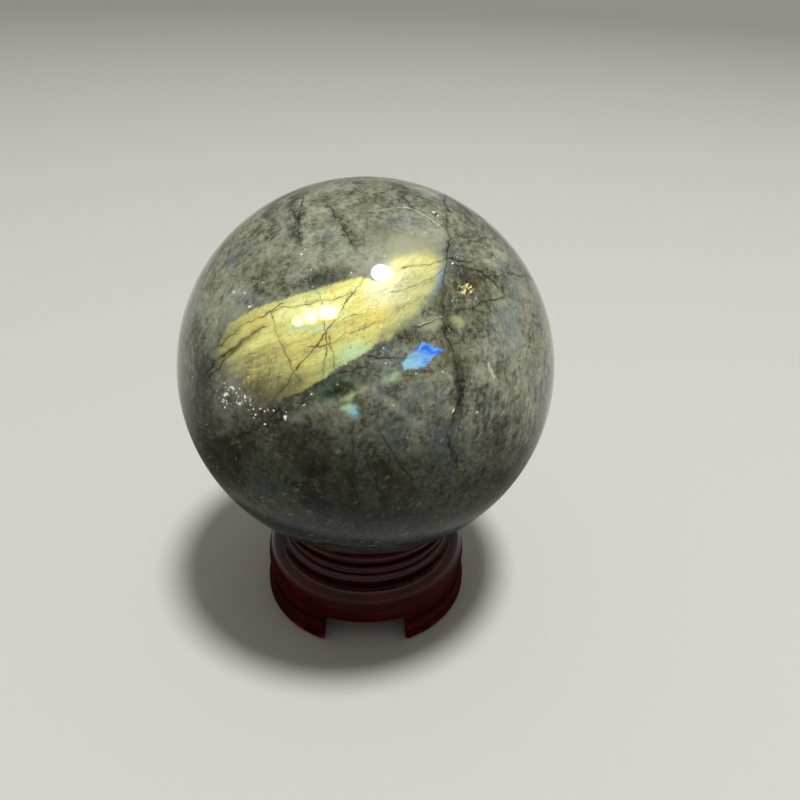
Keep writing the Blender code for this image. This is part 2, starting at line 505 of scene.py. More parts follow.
# Drawn-out grain, on a ball of radius 1: sizes along three axes, their turn, detail and roughness
SHEETS = ((0.30, 0.085, 0.085), (0.3, 0.5, 0.6), 5.0, 0.65)
LEVEL_FIBRES = ((0.50, 0.50, 0.022), (0.20, 0.10, 0.0), 5.0, 0.66)
UPRIGHT_FIBRES = ((0.024, 0.045, 0.22), (0.12, 0.30, 0.2), 5.0, 0.66)
HIDDEN_FIBRES = ((0.02, 0.25, 0.25), (0.2, 0.5, 0.9), 4.0, 0.6)

# Cells of the stone: their sizes along three axes and the turn of those axes
FLAKES = ((0.020, 0.024, 0.050), (0.35, 0.25, 0.3))
CLEAVAGE_STEPS = ((0.026, 0.026, 0.060), (0.4, 0.9, 0.2))
FINE_GLINT_CELLS = 76.0
COARSE_GLINT_CELLS = 30.0

# Streaks in pixels of the photograph: length, width, clockwise tilt in degrees, detail and roughness
FLASH_FIBRES = (3.0, 30.0, 10, 5.0, 0.65)
FLASH_LAYERS = (60.0, 12.0, -22, 6.0, 0.68)
FLASH_SLANTS = (46.0, 4.5, -42, 4.0, 0.6)
FLASH_BLOTCHES = (34.0, 20.0, -30, 5.0, 0.62)
FLASH_NET = (20.0, 12.0, -24, 6.0, 0.62)
FLASH_SPECKS = (5.0, 2.6, -24, 3.0, 0.7)
# Streaks within the painted highlights
HIGHLIGHT_STREAKS = (3.0, 8.0, 0, 4.0, 0.6)
BLUE_FACETS = (9.0, 5.0, -30, 3.0, 0.55)
FLECK_STROKES = (1.7, 7.5, 42, 2.0, 0.55)

# How far the patterns are carried off their straight course, on a ball of radius 1 or in pixels
FLOW_REACH = (0.20, 0.20, 0.20)
DRIFT_REACH = (9.0, 9.0, 0.0)
SHAKE_REACH = (7.0, 7.0, 0.0)
SMALL_REACH = (12.0, 12.0, 0.0)
CRACK_REACH = (14.0, 14.0, 0.0)

# How much each pattern changes the stone's tone, and the tone they swing round
CLOUD_TONE = 0.8
MOTTLE_TONE = 0.95
SHEET_TONE = 0.75
FLAKE_TONE = 0.16
SPECKLE_TONE = 1.0
LEVEL_FIBRE_TONE = 0.40
CROWN_FIBRE_TONE = 1.0
UPRIGHT_FIBRE_TONE = 0.30
RIGHT_FIBRE_TONE = 1.1
STONE_TONE = 0.52

# How much each pattern changes the shine of the gold flash, and the shine they swing round
LAYER_SHINE = 1.9
SLANT_SHINE = 1.8
MOTTLE_SHINE = 0.55
FIBRE_SHINE = 0.15
FOOT_FIBRE_SHINE = 0.9
FAN_FIBRE_SHINE = 1.1
BRIGHT_SHINE = 0.42
FOOT_DULLING = 0.54
FLASH_SHINE = 0.50

# Shares with which a shade covers the stone
BLUE_TINT = 0.40
BROWN_TINT = 0.45
LOWER_BROWN = 0.05
# How strongly the painted shade darkens the lower front
LOWER_PAINTED_SHADE_SHARE = 0.82
# How far the bottom turns to its painted shade
BOTTOM_PAINTED_SHADE_SHARE = 0.70
DARK_VEIN_SHARE = 0.55
PALE_VEIN_SHARE = 0.50
DARK_STEP_SHARE = 0.40
PALE_STEP_SHARE = 0.55
# Share of the painted halo round the lamp's reflection
PAINTED_HALO_SHARE = 0.80
# Share of the painted shade beside the cracks
PAINTED_CRACK_SHADE_SHARE = 0.32
CRACK_SHARE = 0.90
THREAD_SHARE = 0.85
# Share of the painted glints
PAINTED_GLINT_SHARE = 0.85
# Shares of the painted highlights, lemon and then nearly white
HIGHLIGHT_LEMON_SHARE = 0.8
PAINTED_HIGHLIGHT_SHARE = 0.95

# Half widths of the level lines of cloudy patterns that make the veins and the flash's net
DARK_VEIN_WIDTH = 0.008
PALE_VEIN_WIDTH = 0.011
NET_WIDTH = 0.016

# Raggedness of the flashes' outlines, in pixels
FIBRE_RAGGEDNESS = 5.0
MOTTLE_RAGGEDNESS = 12.0
DRIFT_RAGGEDNESS = 10.0
BLUE_RAGGEDNESS = 8.0
BLUE_SHAKE = (7.0, 0.0, 0.0)

# How uneven a crack is, in half widths, and how fast a line comes to a point at its ends, per pixel
CRACK_UNEVENNESS = 2.2
LINE_END_TAPER = 0.25

# The skin: a clear polish, thinner on the lower front and over the cracks
STONE_ROUGHNESS = 0.38
CRACK_ROUGHNESS = 0.4
FLASH_METAL = 0.1
FLAKE_BUMP = {"Strength": 0.25, "Distance": 0.0004}
LOWER_POLISH_LOSS = 0.86
BOTTOM_POLISH_GAIN = 0.40
CRACK_POLISH_LOSS = 0.3
POLISH_ROUGHNESS = 0.035
POLISH_IOR = 1.42
# Strength of the painted glow of the glints and highlights
PAINTED_GLOW_STRENGTH = 0.4

STONE_STOPS = ((0.08, STONE_DARK), (0.34, STONE_OLIVE), (0.56, STONE_GREY), (0.94, STONE_PALE))
GOLD_STOPS = ((0.02, FLASH_OLIVE), (0.32, FLASH_GOLD), (0.56, FLASH_YELLOW), (0.90, FLASH_LEMON))
HIDDEN_STOPS = (
    (0.34, FLASH_BLUE), (0.46, FLASH_CYAN), (0.54, FLASH_GREEN), (0.62, FLASH_GOLD), (0.75, FLASH_YELLOW),
)


def largest(values):
    """The largest of several values, taken in one at a time."""
    return functools.reduce(Wire.larger, values)


def line_through(place, start, middle, end, half_width):
    """1 on a bent line through three pixels of the photograph, 0 at its half width, and less further out."""
    length = math.dist(start, end)
    along = ((end[0] - start[0]) / length, (end[1] - start[1]) / length)
    step = (middle[0] - start[0], middle[1] - start[1])
    reach = step[0] * along[0] + step[1] * along[1]
    bulge = step[1] * along[0] - step[0] * along[1]
    bend = bulge / (reach * (length - reach))
    run = place.dot((along[0], along[1], -(start[0] * along[0] + start[1] * along[1])))
    side = place.dot((-along[1], along[0], start[0] * along[1] - start[1] * along[0]))
    left = length - run
    closeness = 1 - abs(side - run * left * bend) / half_width
    return closeness.smaller(run.smaller(left) * LINE_END_TAPER)


def nearest_line(place, routes):
    """How close this place is to any of several lines: 1 on one, 0 at its half width."""
    return largest(line_through(place, *route) for route in routes)


def side_depth(place, start, end):
    """How many pixels a place lies to the left of a line from one pixel to another."""
    length = math.dist(start, end)
    out = ((end[1] - start[1]) / length, -(end[0] - start[0]) / length)
    return place.dot((out[0], out[1], -(start[0] * out[0] + start[1] * out[1])))


def depth_outside(place, corners):
    """How many pixels a place lies outside a convex outline given clockwise, below 0 inside."""
    return largest(side_depth(place, *side) for side in zip(corners, corners[1:] + corners[:1]))


def spot(place, middle, half_length, half_width, tilt=0.0, core=0.0):
    """1 in the core of an oval of the photograph, 0 at its edge. The tilt is in degrees, anticlockwise."""
    across, down = math.cos(math.radians(tilt)), math.sin(math.radians(tilt))
    run_start = middle[1] * down - middle[0] * across
    side_start = -(middle[0] * down + middle[1] * across)
    run = place.dot((across / half_length, -down / half_length, run_start / half_length))
    side = place.dot((down / half_width, across / half_width, side_start / half_width))
    return (run * run + side * side).math("SQRT").ramp_up(1.0, core)


def grained(place, pattern):
    """Noise drawn out along the turned grain of a piece."""
    sizes, turn, detail, roughness = pattern
    return place.measured(sizes, turn).noise(1.0, detail, roughness)


def streaked(place, pattern):
    """Noise drawn out along tilted streaks of the photograph."""
    length, width, tilt, detail, roughness = pattern
    return grained(place, ((length, width, 1.0), (0, 0, math.radians(tilt)), detail, roughness))


def drifting(place, pattern):
    """A vector that drifts from place to place round 0."""
    return place.noise(*pattern).other("Color").vector("SUBTRACT", (PATTERN_MIDDLE,) * 3)


def carried(place, drift, reach):
    """A place carried off along a drifting vector."""
    return place.vector("ADD", drift.vector("MULTIPLY", reach))


def photo_place(tree, here):
    """The photograph's pixel at a point of the ball, as (across, down, 1), and how far it faces out."""
    offset = here.vector("SUBTRACT", camera_place)
    depth = offset.dot(camera_ahead)
    across = offset.dot(camera_right) / depth * FOCAL_PIXELS + PHOTO_MIDDLE
    down = offset.dot(camera_down) / depth * FOCAL_PIXELS + PHOTO_MIDDLE
    place = tree.node("ShaderNodeCombineXYZ", {}, (across, down, 1.0))
    towards = (camera_place - BALL_CENTRE).normalized()
    facing = here.vector("SUBTRACT", BALL_CENTRE).dot(towards) / BALL_RADIUS
    return place, facing


def stone_body(tree, unit, flowing, place, front):
    """Smoky grey-green feldspar: clouds, fine mottling, cleavage fibres, and dark and pale places, with
    painted shade over the lower front and the bottom.
    """
    clouds = flowing.noise(*CLOUDS)
    mottle = unit.noise(*MOTTLE)
    flakes = unit.measured(*FLAKES).cells(1.0, "Color").channel("Green")
    sheets = grained(flowing, SHEETS)
    level_fibres = grained(flowing, LEVEL_FIBRES)
    upright_fibres = grained(flowing, UPRIGHT_FIBRES)
    right_side = spot(place, *RIGHT_SIDE)
    crown = place.axis("Y").ramp_up(*CROWN_ROWS) * front
    tone = clouds.centred() * CLOUD_TONE + mottle.centred() * MOTTLE_TONE
    tone += sheets.centred() * SHEET_TONE
    tone += flakes.centred() * FLAKE_TONE
    tone += unit.noise(*SPECKLE).centred() * SPECKLE_TONE
    tone += level_fibres.centred() * (crown * CROWN_FIBRE_TONE + LEVEL_FIBRE_TONE)
    tone += upright_fibres.centred() * (right_side * RIGHT_FIBRE_TONE + UPRIGHT_FIBRE_TONE)
    tone += STONE_TONE
    for *oval, change in SHADES:
        tone += spot(place, *oval) * front * change
    stone = tree.colours(tone, STONE_STOPS)
    tint = flowing.noise(*TINT)
    lower = (place.axis("Y") - place.axis("X") * LOWER_SLANT).ramp_up(*LOWER_ROWS) * front
    stone = tree.blend(tint.ramp_up(0.54, 0.68) * BLUE_TINT, stone, STONE_BLUE)
    brown = tint.ramp_up(0.50, 0.36) * (lower * LOWER_BROWN + BROWN_TINT)
    stone = tree.blend(brown, stone, STONE_BROWN)
    # Painted shade: the lower front darkened as if out of the light
    stone = tree.blend(lower * LOWER_PAINTED_SHADE_SHARE, stone, PAINTED_LOWER_SHADE, "MULTIPLY")
    bottom = place.axis("Y").ramp_up(*BOTTOM_ROWS) * front
    # Painted shade: the bottom of the front turns an even dark teal
    return tree.blend(bottom * BOTTOM_PAINTED_SHADE_SHARE, stone, PAINTED_BOTTOM_SHADE), mottle, flakes, lower, bottom


def cleavage_flecks(unit):
    """Short pale and dark strokes, where the stone has split in tiny steps."""
    where = unit.noise(*STEP_PLACES).ramp_up(0.42, 0.62)
    strokes = unit.measured(*CLEAVAGE_STEPS).cells(1.0)
    choice = strokes.other("Color")
    small = strokes.ramp_up(0.42, 0.18)
    pale = small * choice.channel("Red").ramp_up(0.66, 0.74) * (where * 0.8 + 0.2)
    dark = small * choice.channel("Green").ramp_up(0.60, 0.70) * (where * 0.6 + 0.4)
    return pale, dark


def level_line(pattern, half_width):
    """A thin line where a cloudy pattern passes its middle."""
    return abs(pattern.centred()).ramp_up(half_width, 0.0)


def natural_veins(unit, flowing):
    """Healed fractures all through the stone, dark and pale, as thin level lines of cloudy fields."""
    broken = unit.noise(*VEIN_PLACES)
    dark = level_line(flowing.noise(*DARK_VEINS), DARK_VEIN_WIDTH)
    dark *= broken.ramp_up(0.50, 0.60)
    pale = level_line(flowing.noise(*PALE_VEINS), PALE_VEIN_WIDTH)
    pale *= broken.ramp_up(0.52, 0.40)
    return dark * DARK_VEIN_SHARE, pale * PALE_VEIN_SHARE


def painted_gold_sheen(tree, place, wavy, drift, mottle, front):
    """The golden flash of the front, a painted sheen, and how much of it shows."""
    fibres = streaked(place, FLASH_FIBRES)
    layers = streaked(wavy, FLASH_LAYERS)
    slants = streaked(wavy, FLASH_SLANTS)
    blotches = streaked(wavy, FLASH_BLOTCHES)
    ragged = fibres.centred() * FIBRE_RAGGEDNESS + mottle.centred() * MOTTLE_RAGGEDNESS
    ragged += drift.dot((0.0, 1.0, 0.0)) * DRIFT_RAGGEDNESS
    fading = wavy.dot(FADING_DIRECTION).ramp_up(*FADING_STEPS)
    band_depth = depth_outside(place, GOLD_BAND) + ragged
    head_depth = depth_outside(place, GOLD_HEAD) + ragged
    band_share = band_depth.ramp_up(1.6, -1.6) * (1 - fading)
    share = band_share.larger(head_depth.ramp_up(7.0, -9.0) * 0.88)
    share *= place.axis("X").ramp_up(*FLASH_LEFT_COLUMNS, 0.45, 1.0)
    tip = spot(place, *FLASH_TIP)
    foot = spot(place, *FLASH_FOOT)
    shine = layers.centred() * LAYER_SHINE + slants.centred() * tip * SLANT_SHINE
    shine += mottle.centred() * MOTTLE_SHINE
    fan = spot(place, *FLASH_FAN)
    shine += fibres.centred() * (foot * FOOT_FIBRE_SHINE + fan * FAN_FIBRE_SHINE + FIBRE_SHINE)
    shine = shine + spot(place, *FLASH_BRIGHT) * BRIGHT_SHINE - foot * FOOT_DULLING + FLASH_SHINE
    gold = tree.colours(shine, GOLD_STOPS)
    gold = tree.blend(blotches.ramp_up(0.52, 0.64) * 0.55, gold, FLASH_AMBER)
    gold = tree.blend(blotches.ramp_up(0.44, 0.34) * 0.35, gold, FLASH_MOSS)
    rim = band_depth.smaller(head_depth).ramp_up(-10.0, 1.0)
    gold = tree.blend(rim * 0.30, gold, FLASH_MOSS)
    uneven = layers.ramp_up(0.36, 0.56, 0.55, 1.0)
    for *oval, shade, amount in GOLD_PATCHES:
        gold = tree.blend(spot(wavy, *oval) * uneven * amount, gold, shade)
    net = level_line(streaked(wavy, FLASH_NET), NET_WIDTH)
    gold = tree.blend(net * 0.42, gold, CRACK_GOLD)
    specks = streaked(wavy, FLASH_SPECKS)
    gold = tree.blend(specks.ramp_up(0.58, 0.72) * 0.55, gold, FLASH_PALE)
    gold = tree.blend(specks.ramp_up(0.42, 0.28) * 0.45, gold, FLASH_MOSS)
    return gold, share * front


def painted_blue_sheen(tree, small, shake, mottle, front):
    """The blue patch of the front, a painted sheen, icy at its lower left, and how much of it shows."""
    depth = depth_outside(small, BLUE_PATCH) + shake.dot(BLUE_SHAKE)
    depth += mottle.centred() * BLUE_RAGGEDNESS
    share = depth.ramp_up(1.5, -1.5) * front
    facets = streaked(small, BLUE_FACETS)
    blue = tree.blend(facets.ramp_up(0.40, 0.62), FLASH_BLUE, FLASH_SKY)
    blue = tree.blend(spot(small, *ICE_CORNER) * 0.8, blue, FLASH_ICE)
    return tree.blend(spot(small, *CYAN_CORNER), blue, FLASH_CYAN), share


def painted_hidden_sheen(tree, flowing, front):
    """Quieter blue, teal and gold flashes of painted sheen for the sides that the photograph doesn't show.
    """
    fibres = grained(flowing, HIDDEN_FIBRES)
    field = flowing.noise(*HIDDEN_FIELD) + fibres.centred() * 0.05
    colour = tree.colours(flowing.noise(*HIDDEN_SHADE) + fibres.centred() * 0.5, HIDDEN_STOPS)
    return colour, field.ramp_up(0.615, 0.645) * (1 - front) * fibres.ramp_up(0.30, 0.60, 0.25, 0.8)


def crack_lines(unit, wavy, gold_share, front):
    """The cracks of the front, and the painted shade beside them."""
    thickness = unit.noise(*CRACK_THICKNESS).centred() * CRACK_UNEVENNESS
    wander = drifting(unit, CRACK_WANDER)
    closeness = nearest_line(carried(wavy, wander, CRACK_REACH), CRACKS)
    # Painted shade: a darker halo along the cracks
    painted_crack_shade = closeness.ramp_up(-4.5, 1.0) * front * (1 - gold_share * 0.5)
    crack = (closeness + thickness).ramp_up(-0.1, 1.0)
    crack = crack * unit.noise(*CRACK_FADING).ramp_up(0.34, 0.56, 0.50, 1.0) * front
    return crack, painted_crack_shade


def painted_flash_highlights(wavy, front):
    """Painted highlights: the hottest parts of the gold flash, which all but burn out."""
    painted_highlight = largest(spot(wavy, *oval) * strength for *oval, strength in PAINTED_HIGHLIGHTS)
    return (painted_highlight * 1.6 + streaked(wavy, HIGHLIGHT_STREAKS) * 0.6 - 0.88).ramp_up(0.0, 1.0) * front


def painted_glints(unit, place, front):
    """Painted glints of light off tiny cleavage faces, thick in one cluster and thin all over, and the ones
    that stand out.
    """
    fine = unit.cells(FINE_GLINT_CELLS)
    chosen = fine.other("Color").channel("Red")
    cluster = spot(place, *GLINT_CLUSTER).larger(spot(place, *GLINT_TAIL) * 0.62) * front
    dense = fine.ramp_up(0.50, 0.15) * fine.other("Color").channel("Blue").ramp_up(0.0, 1.0, 0.3, 1.0)
    dense *= (chosen + cluster * 0.74).ramp_up(1.04, 1.16)
    coarse = unit.cells(COARSE_GLINT_CELLS)
    rare = coarse.ramp_up(0.17, 0.06) * coarse.other("Color").channel("Green").ramp_up(0.86, 0.94)
    painted_glint_mask = dense.larger(rare * place.axis("Y").ramp_up(*THIN_GLINT_ROWS, 0.50, 0.12))
    for middle, half_width in PAINTED_GLINTS:
        painted_glint_mask = painted_glint_mask.larger(spot(place, middle, half_width, half_width * 0.7, 30) * front)
    return painted_glint_mask


def make_labradorite():
    """Polished labradorite: smoky feldspar, gold and blue flashes painted in as sheen, cracks, painted
    glints, highlights and shade, all under a glossy skin.
    """
    material, tree, shader = new_finish("polished labradorite")
    here = tree.node("ShaderNodeTexCoord", {}, (), "Object")
    unit = here.measured((BALL_RADIUS,) * 3, middle=BALL_CENTRE)
    place, facing = photo_place(tree, here)
    front = facing.ramp_up(*FRONT_EDGE)
    drift = drifting(unit, DRIFT)
    shake = drifting(unit, SHAKE)
    flowing = carried(unit, drift, FLOW_REACH)
    wavy = carried(carried(place, drift, DRIFT_REACH), shake, SHAKE_REACH)

    stone, mottle, flakes, lower, bottom = stone_body(tree, unit, flowing, wavy, front)
    pale, dark = cleavage_flecks(unit)
    stone = tree.blend(dark * DARK_STEP_SHARE, stone, STONE_DARK)
    stone = tree.blend(pale * PALE_STEP_SHARE, stone, tree.blend(0.45, stone, STONE_PALE))
    dark_vein, pale_vein = natural_veins(unit, flowing)
    stone = tree.blend(dark_vein, stone, CRACK_DARK)
    stone = tree.blend(pale_vein * (1 - lower * 0.7), stone, STONE_PALE)
    # Painted sheen: the stone's flashes, put into its colour
    hidden, hidden_share = painted_hidden_sheen(tree, flowing, front)
    stone = tree.blend(hidden_share, stone, hidden)
    gold, gold_share = painted_gold_sheen(tree, place, wavy, drift, mottle, front)
    # Painted light: a pale halo round the lamp's reflection
    painted_halo = spot(wavy, *PAINTED_HALO_OVAL) * front
    stone = tree.blend(painted_halo * PAINTED_HALO_SHARE, stone, PAINTED_HALO_GREY)
    stone = tree.blend(gold_share, stone, gold)

    small = carried(place, shake, SMALL_REACH)
    blue, blue_share = painted_blue_sheen(tree, small, shake, mottle, front)
    stone = tree.blend(blue_share, stone, blue)
    speckled = mottle.ramp_up(0.36, 0.56, 0.40, 1.0) * front
    below = spot(small, *GREEN_BELOW) * (1 - gold_share) * front * 0.85
    stone = tree.blend(below, stone, STONE_TEAL, "MULTIPLY")
    for *oval, shade, share in SMALL_PATCHES:
        stone = tree.blend(spot(small, *oval) * speckled * share, stone, shade)

    crack, painted_crack_shade = crack_lines(unit, wavy, gold_share, front)
    # Painted shade beside the cracks
    stone = tree.blend(painted_crack_shade * PAINTED_CRACK_SHADE_SHARE, stone, CRACK_DARK)
    crack_shade = tree.blend(gold_share, CRACK_DARK, CRACK_GOLD)
    stone = tree.blend(crack * CRACK_SHARE, stone, crack_shade)
    thread = nearest_line(wavy, PALE_THREADS).ramp_up(0.0, 0.6) * front
    stone = tree.blend(thread * speckled * THREAD_SHARE, stone, THREAD_PALE)
    strokes = streaked(small, FLECK_STROKES).ramp_up(0.50, 0.56)
    fleck = strokes * spot(small, *GOLD_FLECK).ramp_up(0.10, 0.45) * front
    stone = tree.blend(fleck, stone, FLASH_PYRITE)
    # Painted glints of light off tiny cleavage faces
    painted_glint_mask = painted_glints(unit, small, front)
    stone = tree.blend(painted_glint_mask * PAINTED_GLINT_SHARE, stone, PAINTED_GLINT_WHITE)
    # Painted highlights where the flash all but burns out, lemon and then nearly white
    painted_highlight = painted_flash_highlights(wavy, front)
    stone = tree.blend(painted_highlight.ramp_up(0.0, 0.35) * HIGHLIGHT_LEMON_SHARE, stone, FLASH_LEMON)
    stone = tree.blend(painted_highlight.ramp_up(0.30, 1.0) * PAINTED_HIGHLIGHT_SHARE, stone, FLASH_PALE)

    relief = tree.node("ShaderNodeBump", {}, {**FLAKE_BUMP, "Height": flakes})
    roughness = STONE_ROUGHNESS + crack * CRACK_ROUGHNESS
    polish = 1 - lower * LOWER_POLISH_LOSS + bottom * BOTTOM_POLISH_GAIN
    # Painted glow: the glints and highlights give off light, though no lamp is there
    painted_glow = tree.blend(painted_glint_mask, tree.blend(painted_highlight, (0.0, 0.0, 0.0), FLASH_PALE), PAINTED_GLINT_WHITE)
    tree.feed(shader, {
        "Base Color": stone,
        "Roughness": roughness,
        "Metallic": gold_share * FLASH_METAL,
        "Normal": relief,
        "Specular IOR Level": 0.0,
        "Coat Weight": polish * (1 - crack * CRACK_POLISH_LOSS),
        "Coat Roughness": POLISH_ROUGHNESS,
        "Coat IOR": POLISH_IOR,
        "Emission Color": painted_glow,
        "Emission Strength": PAINTED_GLOW_STRENGTH,
    })
    return material


# Lacquered wood
WOOD_DARK = (0.0085, 0.0006, 0.0008)
WOOD_RED = (0.0360, 0.0018, 0.0022)
WOOD_LIGHT = (0.0950, 0.0060, 0.0050)
# Lighter orange-red of the patches low on the feet
WOOD_ORANGE = (0.1900, 0.0300, 0.0180)
WOOD_STOPS = ((0.30, WOOD_DARK), (0.52, WOOD_RED), (0.80, WOOD_LIGHT))

# Its grain and pores, in metres, and its noise patterns, as for the stone
WOOD_GRAIN = ((0.0045, 0.0045, 0.0006), (0.05, 0.08, 0.0), 5.0, 0.6)
WOOD_PORES = ((0.0004, 0.0022, 0.0004), (0.05, 0.08, 0.0), 2.0, 0.6)
WOOD_CLOUD = (120.0, 3.0, 0.55)
LOW_ORANGE_PATCHES = (420.0, 3.0, 0.6)
BRUSHING = (260.0, 2.0, 0.55)
GRAIN_SHARE = 0.6
PORE_SHARE = 0.6
LOW_ORANGE_SHARE = 0.8

# The height up to which the feet have lighter orange-red patches, and the one from which the shoulder shines
LOW_ORANGE_HEIGHT = 0.0030
BRIGHT_SHOULDER = 0.0108

# The lacquer: thinnest on the belly, and about half as strong on the rings as on the shoulder
BELLY_LACQUER = 0.08
RING_LACQUER = 0.45
LACQUER_ROUGHNESS = 0.07
LACQUER_IOR = 1.55
BRUSHED_BUMP = {"Strength": 0.30, "Distance": 0.0001}
PORE_DEPTH = 0.4


def make_wood():
    """Dark mahogany under a glossy lacquer: grain, pores, a brushed skin and lighter orange-red patches low
    on the feet.
    """
    material, tree, shader = new_finish("dark red lacquered wood")
    here = tree.node("ShaderNodeTexCoord", {}, (), "Object")
    grain = grained(here, WOOD_GRAIN)
    cloud = here.noise(*WOOD_CLOUD)
    pores = grained(here, WOOD_PORES).ramp_up(0.60, 0.70)
    wood = tree.colours(grain * GRAIN_SHARE + cloud * (1 - GRAIN_SHARE), WOOD_STOPS)
    wood = tree.blend(pores * PORE_SHARE, wood, WOOD_DARK)
    height = here.axis("Z")
    # Lighter orange-red patches low on the feet
    low_orange = here.noise(*LOW_ORANGE_PATCHES).ramp_up(0.46, 0.66) * height.ramp_up(LOW_ORANGE_HEIGHT, 0.0)
    wood = tree.blend(low_orange * LOW_ORANGE_SHARE, wood, WOOD_ORANGE)
    raised = here.noise(*BRUSHING)
    shoulder = height.ramp_up(BRIGHT_SHOULDER, BELLY_TOP, BELLY_LACQUER, 1.0)
    skin = tree.node("ShaderNodeBump", {}, {**BRUSHED_BUMP, "Height": raised - pores * PORE_DEPTH})
    tree.feed(shader, {
        "Base Color": wood,
        "Roughness": cloud.ramp_up(0.3, 0.7, 0.42, 0.62),
        "Specular IOR Level": 0.0,
        "Coat Weight": shoulder * height.ramp_up(RING_FLOORS[0], BELLY_TOP, RING_LACQUER, 1.0),
        "Coat Roughness": LACQUER_ROUGHNESS,
        "Coat IOR": LACQUER_IOR,
        "Normal": skin,
    })
    return material


# The stand's sizes, in metres, from the floor upwards
FOOT_COUNT = 3
FOOT_HEIGHT = 0.0046
FOOT_ROUNDING = 0.0012
FOOT_INNER_RADIUS = 0.0140
FOOT_GROOVE_DEPTH = 0.0012
FOOT_GROOVE_RADIUS = FOOT_RADIUS - FOOT_GROOVE_DEPTH
OPENING_WIDTH = 0.0160
OPENING_HEIGHT = 0.0064
OPENING_ROUNDING = 0.0007
UNDERSIDE_HEIGHT = 0.0072
BELLY_INSET = 0.0004
BELLY_RADIUS = FOOT_RADIUS - BELLY_INSET
BELLY_WIDEST = 0.0088
BELLY_TOP = 0.0140
BELLY_FULLNESS = 0.80
SHOULDER_RADIUS = 0.0175
NECK_RADIUS = 0.0165
RING_RADIUS = 0.0173
RING_HEIGHT = 0.0013
RING_FLOORS = (0.0166, 0.0144)
COVE_FLOOR = 0.0179
COVE_TOP = 0.0192
COVE_DEPTH = 0.0004
RIM_RADIUS = 0.0178
RIM_ROUNDING = 0.0014
SEAT_RADIUS = 0.0150
SEAT_CLEARANCE = 0.0003
EDGE_SOFTNESS = 0.0005

# Steps round each curve of the section
SEAT_STEPS = 16
RIM_STEPS = 14
COVE_STEPS = 8
RING_STEPS = 10
SHOULDER_STEPS = 18
BELLY_STEPS = 16
FOOT_STEPS = 10
SOLE_STEPS = 6
EDGE_STEPS = 4
LINTEL_STEPS = 6
FLAT_POINTS = 8


def arc(centre, radii, start, end, steps, fullness=1.0):
    """Points on part of an ellipse in the profile's plane, from one angle to another in degrees."""
    points = []
    for step in range(steps + 1):
        angle = math.radians(start + (end - start) * step / steps)
        across = math.copysign(abs(math.cos(angle)) ** fullness, math.cos(angle))
        up = math.copysign(abs(math.sin(angle)) ** fullness, math.sin(angle))
        points.append((centre[0] + radii[0] * across, centre[1] + radii[1] * up))
    return points


def spread(points, count):
    """The same path with a number of points spread evenly along it."""
    lengths = [math.dist(start, end) for start, end in zip(points, points[1:])]
    result = []
    for index in range(count):
        left = sum(lengths) * index / (count - 1)
        piece = 0
        while piece < len(lengths) - 1 and left > lengths[piece]:
            left -= lengths[piece]
            piece += 1
        share = min(left / lengths[piece], 1.0)
        first, second = points[piece], points[piece + 1]
        result.append(tuple(near + (far - near) * share for near, far in zip(first, second)))
    return result


